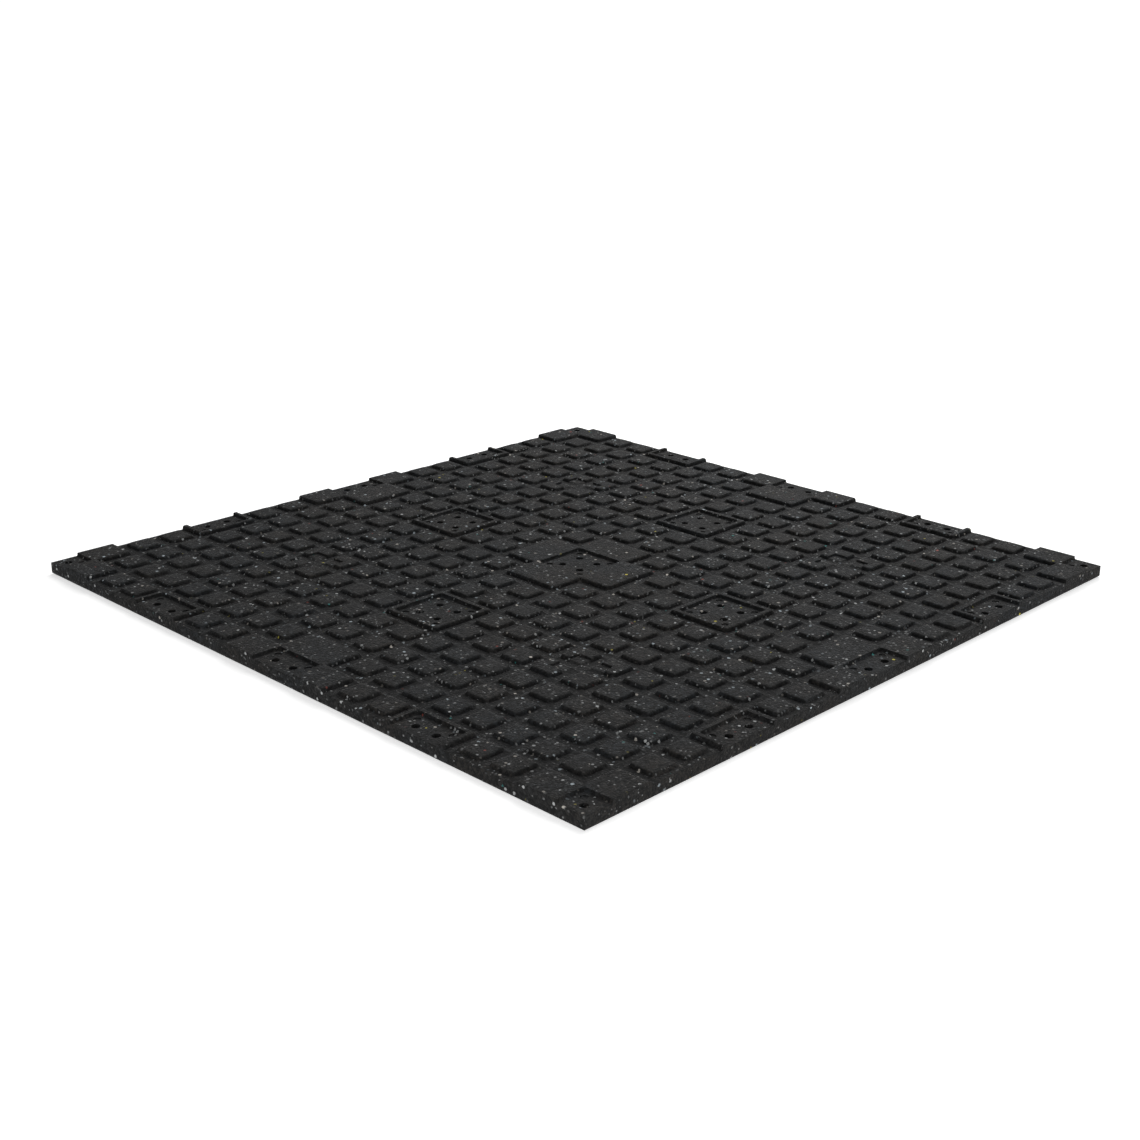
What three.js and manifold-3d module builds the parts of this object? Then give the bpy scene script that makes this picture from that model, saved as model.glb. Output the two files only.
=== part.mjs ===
// Rubber gym floor tile, moulded in one piece from bonded rubber crumb. It lies with its smooth tread
// face down and its studded underside up. Sizes are in millimetres: X and Y run along the tile's edges,
// Z points up, and the origin is the centre of the tread face.
import * as THREE from "three";
import { mergeVertices } from "three/addons/utils/BufferGeometryUtils.js";
import Module from "manifold-3d";

// Whole tile
const TILE_SIDE = 1000;
const THICKNESS = 20;
// The slope cut around the tread face, measured along the face and up the edge.
const TREAD_BEVEL = 1.5;

// Studs of the underside, set out alike in each quarter of the tile
const GROOVE_DEPTH = 5.2;
const STUD_SIDE = 34.8;
const STUD_PITCH = 49.6;
// How far the stud tops lie below the plus pads and the rims.
const STUD_DROP = 0.6;
// Sideways run of every moulded wall for each millimetre that it rises.
const WALL_DRAFT = 0.2;

// Connector recesses, in the plus pads and inside the rims that stand between them
const RECESS_SIDE = 78;
const RECESS_DEPTH = 4.2;
const RECESS_CORNER_RADIUS = 5;
const RIM_WIDTH = 7;

// Blind pin holes, one at each corner of a square in the recess floor
const PIN_HOLE_DIAMETER = 10;
const PIN_HOLE_SPACING = 33;
const PIN_HOLE_FACETS = 12;
// The rubber left between a pin hole and the tread face.
const PIN_HOLE_FLOOR = 8;

// Shallow pocket cut into the studs at the middle of each quarter
const POCKET_LENGTH = 56;
const POCKET_WIDTH = 48;
const POCKET_DEPTH = 3.4;

// Material
const RUBBER_COLOUR = 0x2b2d2e;
const RUBBER_ROUGHNESS = 0.93;

// Steps in the curve of a rounded recess corner.
const CORNER_STEPS = 3;
// How far a raised shape sinks into the slab, and a cut runs on past an open face.
const OVERRUN = 1;

const quarterSide = TILE_SIDE / 2;
const slabTop = THICKNESS - GROOVE_DEPTH;
const studsPerQuarter = Math.floor(quarterSide / STUD_PITCH);
// From a quarter's edge to the middle of its first stud.
const firstStud = (quarterSide - (studsPerQuarter - 1) * STUD_PITCH) / 2;
// A plus pad's arms are as wide as the two studs nearest its middle, and as long as four.
const plusArmWidth = 2 * firstStud + STUD_SIDE;
const plusArmLength = plusArmWidth + 2 * STUD_PITCH;
const rimSide = RECESS_SIDE + 2 * RIM_WIDTH;

const wasm = await Module();
wasm.setup();

// A closed three.js geometry as a solid that can be joined and cut.
function solid(geometry) {
  geometry.deleteAttribute("normal");
  geometry.deleteAttribute("uv");
  const merged = mergeVertices(geometry, 1e-4);
  const mesh = new wasm.Mesh({
    numProp: 3,
    vertProperties: new Float32Array(merged.attributes.position.array),
    triVerts: new Uint32Array(merged.index.array),
  });
  return new wasm.Manifold(mesh);
}

// A block of the given size around its middle, standing between two heights.
function block(sizeX, sizeY, bottom, top) {
  const geometry = new THREE.BoxGeometry(sizeX, sizeY, top - bottom);
  geometry.translate(0, 0, (bottom + top) / 2);
  return geometry;
}

// A raised pad: its size is that of its top, and its walls spread as they go down into the slab.
function raisedPad(sizeX, sizeY, top) {
  const bottom = slabTop - OVERRUN;
  const spread = (top - bottom) * WALL_DRAFT;
  const geometry = block(sizeX, sizeY, bottom, top);
  const corners = geometry.attributes.position;
  for (let i = 0; i < corners.count; i += 1) {
    if (corners.getZ(i) < slabTop) {
      corners.setX(i, corners.getX(i) + Math.sign(corners.getX(i)) * spread);
      corners.setY(i, corners.getY(i) + Math.sign(corners.getY(i)) * spread);
    }
  }
  return solid(geometry);
}

// The outline of a square with rounded corners.
function roundedSquare(side, radius) {
  const reach = side / 2 - radius;
  const outline = new THREE.Shape();
  outline.absarc(reach, reach, radius, 0, Math.PI / 2);
  outline.absarc(-reach, reach, radius, Math.PI / 2, Math.PI);
  outline.absarc(-reach, -reach, radius, Math.PI, Math.PI * 1.5);
  outline.absarc(reach, -reach, radius, Math.PI * 1.5, Math.PI * 2);
  return outline;
}

// The cut of one connector recess, open at the top.
function recessCut() {
  const geometry = new THREE.ExtrudeGeometry(roundedSquare(RECESS_SIDE, RECESS_CORNER_RADIUS), {
    depth: RECESS_DEPTH + OVERRUN,
    curveSegments: CORNER_STEPS,
    bevelEnabled: false,
  });
  geometry.translate(0, 0, THICKNESS - RECESS_DEPTH);
  return solid(geometry);
}

// The cut of one blind pin hole, from its bottom up through the recess above it.
function pinHoleCut() {
  const radius = PIN_HOLE_DIAMETER / 2;
  const height = THICKNESS - PIN_HOLE_FLOOR;
  const geometry = new THREE.CylinderGeometry(radius, radius, height, PIN_HOLE_FACETS);
  geometry.rotateX(Math.PI / 2);
  geometry.translate(0, 0, PIN_HOLE_FLOOR + height / 2);
  return solid(geometry);
}

// The cut of the pocket at the middle of a quarter.
function pocketCut() {
  return solid(block(POCKET_LENGTH, POCKET_WIDTH, THICKNESS - POCKET_DEPTH, THICKNESS + OVERRUN));
}

// The whole tile's outer limits: upright edges, with the bevel around the tread face. It runs on above
// the tile, whose own pads give the top.
function tileLimits() {
  const reach = TILE_SIDE / 2 - TREAD_BEVEL;
  const outline = new THREE.Shape();
  outline.moveTo(-reach, -reach);
  outline.lineTo(reach, -reach);
  outline.lineTo(reach, reach);
  outline.lineTo(-reach, reach);
  outline.closePath();
  const geometry = new THREE.ExtrudeGeometry(outline, {
    depth: THICKNESS,
    bevelThickness: TREAD_BEVEL,
    bevelSize: TREAD_BEVEL,
    bevelSegments: 1,
  });
  geometry.translate(0, 0, TREAD_BEVEL);
  return solid(geometry);
}

// The middles of the plus pads: every corner of a quarter.
function plusCentres() {
  const centres = [];
  for (const x of [-quarterSide, 0, quarterSide]) {
    for (const y of [-quarterSide, 0, quarterSide]) {
      centres.push([x, y]);
    }
  }
  return centres;
}

// The middles of the rimmed recesses: halfway along every side of a quarter.
function rimCentres() {
  const centres = [];
  for (const along of [-quarterSide / 2, quarterSide / 2]) {
    for (const across of [-quarterSide, 0, quarterSide]) {
      centres.push([along, across], [across, along]);
    }
  }
  return centres;
}

// The middle of each quarter.
function quarterCentres() {
  const centres = [];
  for (const x of [-quarterSide / 2, quarterSide / 2]) {
    for (const y of [-quarterSide / 2, quarterSide / 2]) {
      centres.push([x, y]);
    }
  }
  return centres;
}

// The raised rectangles that take the place of studs.
function raisedAreas() {
  const areas = [];
  for (const [x, y] of plusCentres()) {
    areas.push({ x, y, sizeX: plusArmLength, sizeY: plusArmWidth });
    areas.push({ x, y, sizeX: plusArmWidth, sizeY: plusArmLength });
  }
  for (const [x, y] of rimCentres()) {
    areas.push({ x, y, sizeX: rimSide, sizeY: rimSide });
  }
  return areas;
}

// The middles of the studs that stand clear of every raised area.
function studCentres(areas) {
  const centres = [];
  const places = [];
  for (let i = 0; i < studsPerQuarter; i += 1) {
    const place = firstStud + i * STUD_PITCH;
    places.push(-place, place);
  }
  for (const x of places) {
    for (const y of places) {
      const meets = (area) =>
        Math.abs(x - area.x) < (area.sizeX + STUD_SIDE) / 2 &&
        Math.abs(y - area.y) < (area.sizeY + STUD_SIDE) / 2;
      if (!areas.some(meets)) {
        centres.push([x, y]);
      }
    }
  }
  return centres;
}

// The middles of the pin holes that lie whole within the tile.
function pinHoleCentres() {
  const offset = PIN_HOLE_SPACING / 2;
  const limit = (TILE_SIDE - PIN_HOLE_DIAMETER) / 2;
  const centres = [];
  for (const [x, y] of [...plusCentres(), ...rimCentres()]) {
    for (const [stepX, stepY] of [[-1, -1], [-1, 1], [1, -1], [1, 1]]) {
      const centre = [x + stepX * offset, y + stepY * offset];
      if (Math.abs(centre[0]) < limit && Math.abs(centre[1]) < limit) {
        centres.push(centre);
      }
    }
  }
  return centres;
}

// The moulded tile: a slab with its studs, plus pads and rims, then the recesses, pockets and pin holes.
function tileSolid() {
  const areas = raisedAreas();
  const margin = plusArmLength;
  let tile = solid(block(TILE_SIDE + margin, TILE_SIDE + margin, -OVERRUN, slabTop));
  for (const area of areas) {
    tile = tile.add(raisedPad(area.sizeX, area.sizeY, THICKNESS).translate([area.x, area.y, 0]));
  }
  const stud = raisedPad(STUD_SIDE, STUD_SIDE, THICKNESS - STUD_DROP);
  for (const [x, y] of studCentres(areas)) {
    tile = tile.add(stud.translate([x, y, 0]));
  }
  const cuts = [
    [recessCut(), [...plusCentres(), ...rimCentres()]],
    [pocketCut(), quarterCentres()],
    [pinHoleCut(), pinHoleCentres()],
  ];
  for (const [cut, centres] of cuts) {
    for (const [x, y] of centres) {
      tile = tile.subtract(cut.translate([x, y, 0]));
    }
  }
  return tile.intersect(tileLimits());
}

// A finished solid as a named mesh with its material.
function namedMesh(name, body, material) {
  const result = body.getMesh();
  const geometry = new THREE.BufferGeometry();
  geometry.setAttribute("position", new THREE.BufferAttribute(result.vertProperties, result.numProp));
  geometry.setIndex(new THREE.BufferAttribute(result.triVerts, 1));
  geometry.computeVertexNormals();
  const mesh = new THREE.Mesh(geometry, material);
  mesh.name = name;
  return mesh;
}

const rubber = new THREE.MeshStandardMaterial({
  color: RUBBER_COLOUR,
  roughness: RUBBER_ROUGHNESS,
  metalness: 0,
});

const group = new THREE.Group();
group.name = "gym_floor_tile";
group.add(namedMesh("tile", tileSolid(), rubber));

export default group;
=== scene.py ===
"""Rubber gym floor tile, lying tread face down with its studded underside up.

The tile's moulded relief is rebuilt over its solid with softened edges, and dressed in bonded rubber
crumb with pale flecks. The tile's sizes are in millimetres, and become metres in its mesh and material.
"""

import logging
import math
from dataclasses import dataclass, field
from enum import Enum, IntEnum

import bpy
import numpy as np
from mathutils import Matrix, Vector


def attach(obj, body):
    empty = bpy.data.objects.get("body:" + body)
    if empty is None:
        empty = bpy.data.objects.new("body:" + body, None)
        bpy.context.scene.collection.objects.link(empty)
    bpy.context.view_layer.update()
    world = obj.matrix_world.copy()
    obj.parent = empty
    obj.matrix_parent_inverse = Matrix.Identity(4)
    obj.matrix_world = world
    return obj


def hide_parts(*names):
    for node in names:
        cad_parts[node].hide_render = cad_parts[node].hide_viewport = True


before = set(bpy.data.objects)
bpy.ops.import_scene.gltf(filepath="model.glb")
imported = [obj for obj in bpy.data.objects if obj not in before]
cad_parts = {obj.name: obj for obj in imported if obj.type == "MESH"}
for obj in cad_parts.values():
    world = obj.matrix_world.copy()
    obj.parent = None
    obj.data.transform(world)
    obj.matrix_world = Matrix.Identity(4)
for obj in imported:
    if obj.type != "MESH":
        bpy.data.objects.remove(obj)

LOG = logging.getLogger("floor_tile")
METRES_PER_MM = 0.001
# The middle of the range of every noise and of every crumb's own numbers.
MIDDLE = 0.5

Colour = tuple[float, float, float, float]
# X and Y of every crossing of a net of lines, or a value along each of them.
NetPair = tuple[np.ndarray, np.ndarray]


class Corner(Enum):
    """The four ways out from the middle of a recess to its corners."""

    RIGHT_BACK = (1, 1)
    LEFT_BACK = (-1, 1)
    LEFT_FRONT = (-1, -1)
    RIGHT_FRONT = (1, -1)


class Wander(Enum):
    """What an unevenness moves. Each has a number series of its own."""

    ALONG_X = 1
    ALONG_Y = 2
    UPRIGHT = 3
    OUTER_EDGE = 5


class LineRank(IntEnum):
    """What a net line is for. Of two that lie too close, the one with the lower rank is kept.

    Attributes:
        SQUARE: an end of the net, or a side of the square around a hole.
        EDGE: a bend in the cross-section of an edge.
        CORNER: rounds the corners of a recess.
        FILL: divides a wide face.
    """

    SQUARE = 0
    EDGE = 1
    CORNER = 2
    FILL = 3


@dataclass(frozen=True)
class TileSizes:
    """Sizes of the moulded tile, in millimetres.

    Attributes:
        edge_round: the bevel between the studded face and the outer edges.
        stud_drop: how far the stud tops lie below the pads and rims.
        inner_corner_fill: height of the rubber that fills the inner corners of a plus pad.
        inner_corner_reach: how far that rubber reaches out of the corner.
        pin_hole_floor: the rubber left between a pin hole and the tread face.
        pin_mouth_flare: how far a pin hole widens at its mouth.
        pin_mouth_chamfer: how deep that widening goes.
        pin_taper: how far a pin hole narrows down to its rounded bottom.
        pin_floor_inset: how much smaller its floor's radius is than its own.
        pin_floor_rise: height of its rounded bottom.
        dimple_offset: from a recess's middle to a dimple's, along X and along Y.
        dimple_wall_run: how far a dimple's wall leans in.
    """

    side: float = 1000.0
    thickness: float = 20.0
    tread_bevel: float = 1.5
    edge_round: float = 0.5
    groove_depth: float = 5.2
    stud_side: float = 34.8
    stud_pitch: float = 49.6
    stud_drop: float = 0.6
    stud_corner: float = 2.2
    pad_corner: float = 2.2
    pocket_corner: float = 0.8
    inner_corner_fill: float = 3.4
    inner_corner_reach: float = 6.0
    recess_side: float = 78.0
    recess_depth: float = 4.2
    recess_corner: float = 5.0
    rim_width: float = 7.0
    pin_hole_diameter: float = 10.0
    pin_hole_spacing: float = 33.0
    pin_hole_floor: float = 8.0
    pin_mouth_flare: float = 0.35
    pin_mouth_chamfer: float = 0.4
    pin_taper: float = 0.1
    pin_floor_inset: float = 0.7
    pin_floor_rise: float = 0.5
    pocket_length: float = 56.0
    pocket_width: float = 48.0
    pocket_depth: float = 3.4
    dimple_diameter: float = 9.6
    dimple_depth: float = 1.3
    dimple_offset: float = 28.8
    dimple_wall_run: float = 0.5

    @property
    def half(self) -> float:
        """Half of the tile's side."""
        return self.side / 2

    @property
    def quarter(self) -> float:
        """Side of one quarter of the tile."""
        return self.side / 2

    @property
    def slab_top(self) -> float:
        """Height of the groove floor."""
        return self.thickness - self.groove_depth

    @property
    def stud_top(self) -> float:
        """Height of the stud tops."""
        return self.thickness - self.stud_drop

    @property
    def recess_floor(self) -> float:
        """Height of the recess floors."""
        return self.thickness - self.recess_depth

    @property
    def pocket_floor(self) -> float:
        """Height of the pocket floors."""
        return self.thickness - self.pocket_depth

    @property
    def studs_per_quarter(self) -> int:
        """Number of studs along a quarter."""
        return math.floor(self.quarter / self.stud_pitch)

    @property
    def first_stud(self) -> float:
        """From a quarter's edge to the middle of its first stud."""
        return (self.quarter - (self.studs_per_quarter - 1) * self.stud_pitch) / 2

    @property
    def arm_half_width(self) -> float:
        """Half of the width of a plus pad's arm."""
        return self.first_stud + self.stud_side / 2

    @property
    def arm_half_length(self) -> float:
        """From the middle of a plus pad to the end of its arm."""
        return self.arm_half_width + self.stud_pitch

    @property
    def rim_half(self) -> float:
        """From the middle of a rim to its outer edge."""
        return self.recess_side / 2 + self.rim_width

    @property
    def stud_places(self) -> np.ndarray:
        """The middles of the studs along one edge of the tile."""
        steps = self.first_stud + self.stud_pitch * np.arange(self.studs_per_quarter)
        return np.concatenate([-steps[::-1], steps])

    @property
    def plus_centres(self) -> list[tuple[float, float]]:
        """The middles of the plus pads, at every corner of a quarter."""
        places = (-self.quarter, 0.0, self.quarter)
        return [(x, y) for x in places for y in places]

    @property
    def rim_centres(self) -> list[tuple[float, float]]:
        """The middles of the rimmed recesses, halfway along every side of a quarter.

        Returns:
            X and Y of each.
        """
        centres = []
        for along in (-self.quarter / 2, self.quarter / 2):
            for across in (-self.quarter, 0.0, self.quarter):
                centres += [(along, across), (across, along)]
        return centres

    @property
    def recess_centres(self) -> list[tuple[float, float]]:
        """The middles of all connector recesses."""
        return self.plus_centres + self.rim_centres

    @property
    def quarter_centres(self) -> list[tuple[float, float]]:
        """The middle of each quarter."""
        places = (-self.quarter / 2, self.quarter / 2)
        return [(x, y) for x in places for y in places]

    @property
    def raised_areas(self) -> list[tuple[float, float, float, float]]:
        """The raised rectangles that take the place of studs.

        Returns:
            X and Y of each one's middle, and its half sizes along X and Y.
        """
        areas = []
        for x, y in self.plus_centres:
            areas.append((x, y, self.arm_half_length, self.arm_half_width))
            areas.append((x, y, self.arm_half_width, self.arm_half_length))
        areas += [(x, y, self.rim_half, self.rim_half) for x, y in self.rim_centres]
        return areas

    @property
    def pin_hole_rings(self) -> list[tuple[float, float]]:
        """The rings of a pin hole, from its mouth down to its floor.

        Returns:
            Radius and height of each.
        """
        radius = self.pin_hole_diameter / 2
        return [
            (radius + self.pin_mouth_flare, self.recess_floor),
            (radius, self.recess_floor - self.pin_mouth_chamfer),
            (radius - self.pin_taper, self.pin_hole_floor + self.pin_floor_rise),
            (radius - self.pin_floor_inset, self.pin_hole_floor),
        ]

    @property
    def dimple_rings(self) -> list[tuple[float, float]]:
        """The rings of a dimple, from its mouth down to its floor.

        Returns:
            Radius and height of each.
        """
        radius = self.dimple_diameter / 2
        return [
            (radius, self.recess_floor),
            (radius - self.dimple_wall_run, self.recess_floor - self.dimple_depth),
        ]


@dataclass(frozen=True)
class EdgeProfile:
    """Cross-section of a moulded edge, as heights at distances outside its nominal line.

    A distance below zero lies inside the raised or sunk shape.
    """

    distances: tuple[float, ...]
    heights: tuple[float, ...]

    def at(self, distance: np.ndarray) -> np.ndarray:
        """Height of the profile at each distance."""
        return np.interp(distance, self.distances, self.heights)


def smooth_step(share: np.ndarray) -> np.ndarray:
    """Zero to one with level ends."""
    return share * share * (3 - 2 * share)


@dataclass(frozen=True)
class CrumbUnevenness:
    """Slow unevenness of pressed crumb, the same on every run. Lengths are in millimetres.

    Attributes:
        seed: start of the number series.
        wander_stride: from one kind of wander's series to the next one's.
        cell_stride: from one size of lump's series to the next one's.
        cells: size of the lumps, from fine to coarse.
        cell_weight: weight of a size of lump, as a share of that of the finer one.
        total_weight: weight of all sizes together.
        reach: half of the square that the lumps cover.
        spare_cells: lumps kept beyond that square.
        sideways: most that an edge wanders.
        upright: half of the most that a face lies low.
        border: width of the strip along the outer edges in which the unevenness fades.
        border_share: share of the upright unevenness that is added back in that strip.
    """

    seed: int = 41
    wander_stride: int = 97
    cell_stride: int = 13
    cells: tuple[float, ...] = (5.0, 13.0, 37.0)
    cell_weight: float = 0.75
    total_weight: float = 2.3
    reach: float = 700.0
    spare_cells: int = 4
    sideways: float = 0.60
    upright: float = 0.20
    border: float = 4.0
    border_share: float = 0.4

    def wander(self, x: np.ndarray, y: np.ndarray, kind: Wander) -> np.ndarray:
        """Smooth noise between -1 and 1.

        Args:
            x: places along X.
            y: places along Y.
            kind: what the noise moves.

        Returns:
            One value for each place.
        """
        total = np.zeros_like(x)
        weight = 1.0
        for number, cell in enumerate(self.cells):
            start = self.seed + self.wander_stride * kind.value + self.cell_stride * number
            count = int(2 * self.reach / cell) + self.spare_cells
            lattice = np.random.default_rng(start).uniform(-1.0, 1.0, (count, count))
            u, v = (x + self.reach) / cell, (y + self.reach) / cell
            i, j = np.floor(u).astype(int), np.floor(v).astype(int)
            s, t = smooth_step(u - i), smooth_step(v - j)
            low = lattice[i, j] * (1 - s) + lattice[i + 1, j] * s
            high = lattice[i, j + 1] * (1 - s) + lattice[i + 1, j + 1] * s
            total += weight * (low * (1 - t) + high * t)
            weight *= self.cell_weight
        return total / self.total_weight


@dataclass(frozen=True)
class EdgeSizes:
    """Rounding of the moulded edges between their corners, in millimetres.

    Attributes:
        pad_reach: where the top of a pad or rim ends, its wall starts and its wall ends, as distances
            outside its nominal line.
        pad_round: fall from the top to the start of the wall.
        stud_reach: the same three distances for a stud.
        stud_round: fall from a stud's top to the start of its wall.
        recess_reach: where a recess floor ends, its wall starts and its wall ends.
        recess_fillet: rise from the floor to the start of the wall.
        pocket_reach: where a pocket's floor ends, its wall ends and its lip ends.
        pocket_lip: fall from the stud's top to the end of the wall.
    """

    pad_reach: tuple[float, float, float] = (-1.6, -0.2, 0.9)
    pad_round: float = 1.0
    stud_reach: tuple[float, float, float] = (-1.7, -0.2, 0.9)
    stud_round: float = 1.1
    recess_reach: tuple[float, float, float] = (-1.2, -0.1, 0.3)
    recess_fillet: float = 1.2
    pocket_reach: tuple[float, float, float] = (-0.3, 0.1, 0.5)
    pocket_lip: float = 0.2


@dataclass(frozen=True)
class CornerSoftening:
    """How much gentler a raised shape is at its corners than between them, in millimetres.

    Attributes:
        reach: distance from a corner at which the softening starts.
        inner_run: how much farther in the top starts to fall.
        outer_run: how much farther out the slope ends.
        top_drop: fall of the top where it ends between the corners.
        shoulder_drop: fall from the top to where the wall starts between the corners.
        foot_rise: height above the groove where the wall ends between the corners.
    """

    reach: float = 3.0
    inner_run: float = 3.0
    outer_run: float = 4.5
    top_drop: float = 0.45
    shoulder_drop: float = 2.1
    foot_rise: float = 1.6

    def soften(self, edge: EdgeProfile) -> EdgeProfile:
        """Gives the gentler cross-section that an edge takes on at a corner.

        Args:
            edge: the cross-section between the corners.

        Returns:
            The cross-section along the corner's diagonal.
        """
        inner, shoulder, outer = edge.distances
        top, _, foot = edge.heights
        return EdgeProfile(
            (inner - self.inner_run, inner, shoulder, outer, outer + self.outer_run),
            (top, top - self.top_drop, top - self.shoulder_drop, foot + self.foot_rise, foot),
        )

    def nearness(self, u: np.ndarray, v: np.ndarray) -> np.ndarray:
        """Nearness to a corner, between zero and one, from the distances outside its two sides."""
        return np.clip(1.0 + np.minimum(u, v) / self.reach, 0.0, 1.0)


@dataclass(frozen=True)
class RoundHole:
    """One round hole or dimple, in millimetres.

    Attributes:
        centre: its middle.
        half: half of the square of net that it takes.
        rings: radius and height of each of its rings, from the mouth down to the floor.
    """

    centre: tuple[float, float]
    half: float
    rings: list[tuple[float, float]]


@dataclass
class MouldedRelief:
    """Places and heights of the studded face on a net of lines along X and Y, in millimetres.

    Attributes:
        sizes: sizes of the tile.
        unevenness: slow unevenness of the crumb.
        edges: rounding of the edges.
        corners: softening of the corners.
        closest_lines: least distance between two lines.
        hole_margin: from a pin hole's edge to the sides of its square of net.
        corner_line_inset: from a recess's line to the line that helps to round its corners.
        corner_reach: lowest and highest distance from a shape's line at which the net rounds a corner.
        smallest_bend: least radius to which the net is rounded.
        lines: the places of the lines.
    """

    sizes: TileSizes
    unevenness: CrumbUnevenness
    edges: EdgeSizes = EdgeSizes()
    corners: CornerSoftening = CornerSoftening()
    closest_lines: float = 0.3
    hole_margin: float = 0.8
    corner_line_inset: float = 2.2
    corner_reach: tuple[float, float] = (-3.0, 1.4)
    smallest_bend: float = 0.3
    lines: np.ndarray = field(init=False)

    def __post_init__(self) -> None:
        """Sets out the net's lines."""
        self.lines = self._net_lines()

    @property
    def hole_half(self) -> float:
        """Half of the square of net that a pin hole takes."""
        return self.sizes.pin_hole_diameter / 2 + self.hole_margin

    @property
    def dimple_half(self) -> float:
        """Half of the square of net that a dimple takes."""
        return self.sizes.dimple_diameter / 2 + self.hole_margin / 2

    @property
    def pad_edge(self) -> EdgeProfile:
        """Edge of a plus pad or a rim."""
        top, foot = self.sizes.thickness, self.sizes.slab_top
        return EdgeProfile(self.edges.pad_reach, (top, top - self.edges.pad_round, foot))

    @property
    def stud_edge(self) -> EdgeProfile:
        """Edge of a stud."""
        top, foot = self.sizes.stud_top, self.sizes.slab_top
        return EdgeProfile(self.edges.stud_reach, (top, top - self.edges.stud_round, foot))

    @property
    def recess_edge(self) -> EdgeProfile:
        """Edge of a connector recess."""
        top, floor = self.sizes.thickness, self.sizes.recess_floor
        return EdgeProfile(self.edges.recess_reach, (floor, floor + self.edges.recess_fillet, top))

    @property
    def pocket_edge(self) -> EdgeProfile:
        """Edge of the pocket at the middle of a quarter."""
        top, floor = self.sizes.stud_top, self.sizes.pocket_floor
        return EdgeProfile(self.edges.pocket_reach, (floor, top - self.edges.pocket_lip, top))

    def _net_lines(self) -> np.ndarray:
        """Lines of the net along one axis: wherever an edge, a hole or a corner needs one.

        Returns:
            The places of the lines in rising order.
        """
        end = self.sizes.half - self.sizes.edge_round
        wanted = [(LineRank.SQUARE, -end), (LineRank.SQUARE, end)]
        wanted += self._stud_lines() + self._recess_lines()
        kept: list[float] = []
        for _, place in sorted(wanted):
            inside = abs(place) <= end
            if inside and all(abs(place - other) >= self.closest_lines for other in kept):
                kept.append(place)
        return np.array(sorted(kept))

    def _stud_lines(self) -> list[tuple[LineRank, float]]:
        """Sets out the lines that the studs need.

        Returns:
            Rank and place of each line.
        """
        s = self.sizes
        wanted = []
        for place in s.stud_places:
            wanted.append((LineRank.FILL, place + s.stud_pitch / 2))
            for way in (-1, 1):
                wanted.append((LineRank.FILL, place + way * s.stud_side / 4))
                for distance in self.stud_edge.distances:
                    wanted.append((LineRank.EDGE, place + way * (s.stud_side / 2 + distance)))
        return wanted

    def _recess_lines(self) -> list[tuple[LineRank, float]]:
        """Sets out the lines that the recesses, rims, pads, holes and pockets need.

        Returns:
            Rank and place of each line.
        """
        s = self.sizes
        squares = ((s.pin_hole_spacing / 2, self.hole_half), (s.dimple_offset, self.dimple_half))
        wanted = []
        for centre in (-s.quarter, -s.quarter / 2, 0.0, s.quarter / 2, s.quarter):
            offsets = [(LineRank.EDGE, s.recess_side / 2 + d) for d in self.recess_edge.distances]
            offsets += [(LineRank.EDGE, s.rim_half + d) for d in self.pad_edge.distances]
            offsets.append((LineRank.CORNER, s.recess_side / 2 - self.corner_line_inset))
            for middle, half in squares:
                offsets += [(LineRank.SQUARE, middle - half), (LineRank.SQUARE, middle + half)]
            if abs(centre) == s.quarter / 2:
                for half in (s.pocket_length / 2, s.pocket_width / 2):
                    offsets += [(LineRank.EDGE, half + d) for d in self.pocket_edge.distances]
            for way in (-1, 1):
                wanted += [(rank, centre + way * offset) for rank, offset in offsets]
        return wanted

    def lines_beside(self, centre: float, half: float) -> tuple[int, int]:
        """Finds the lines along two opposite sides of a hole's square.

        Args:
            centre: the square's middle along one axis.
            half: half of its side.

        Returns:
            The numbers of the lower and the higher line.
        """
        low, high = (int(np.abs(self.lines - (centre + way * half)).argmin()) for way in (-1, 1))
        return low, high

    def holes(self) -> list[RoundHole]:
        """Sets out the pin holes and dimples that lie whole within the tile.

        Returns:
            The holes of one recess after another.
        """
        s = self.sizes
        kinds = (
            (s.pin_hole_spacing / 2, self.hole_half, s.pin_hole_rings),
            (s.dimple_offset, self.dimple_half, s.dimple_rings),
        )
        holes = []
        for x, y in s.recess_centres:
            for corner in Corner:
                way_x, way_y = corner.value
                for offset, half, rings in kinds:
                    centre = (x + way_x * offset, y + way_y * offset)
                    if max(abs(centre[0]), abs(centre[1])) + half < s.half:
                        holes.append(RoundHole(centre, half, rings))
        return holes

    def _stud_present(self) -> np.ndarray:
        """Finds which crossings of the stud rows hold a stud.

        Returns:
            A square array of true and false, along X and then Y.
        """
        s = self.sizes
        x, y = np.meshgrid(s.stud_places, s.stud_places, indexing="ij")
        clear = np.ones_like(x, dtype=bool)
        for cx, cy, half_x, half_y in s.raised_areas:
            meets = (np.abs(x - cx) < half_x + s.stud_side / 2) & (np.abs(y - cy) < half_y + s.stud_side / 2)
            clear &= ~meets
        return clear

    def _round_corner(self, u: np.ndarray, v: np.ndarray, radius: float) -> NetPair:
        """Draws the net in around a rounded corner.

        Args:
            u: distance outside the shape's line along X.
            v: distance outside the shape's line along Y.
            radius: corner radius on the shape's own line.

        Returns:
            The distances after the net is drawn in.
        """
        lowest, highest = self.corner_reach
        ring = np.maximum(u, v)
        bend = np.maximum(radius + ring, self.smallest_bend)
        du, dv = u - (ring - bend), v - (ring - bend)
        turns = (du > 0) & (dv > 0) & (ring >= lowest) & (ring <= highest)
        length = np.where(turns, np.hypot(du, dv), 1.0)
        return (
            np.where(turns, ring - bend + du / length * bend, u),
            np.where(turns, ring - bend + dv / length * bend, v),
        )

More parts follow.
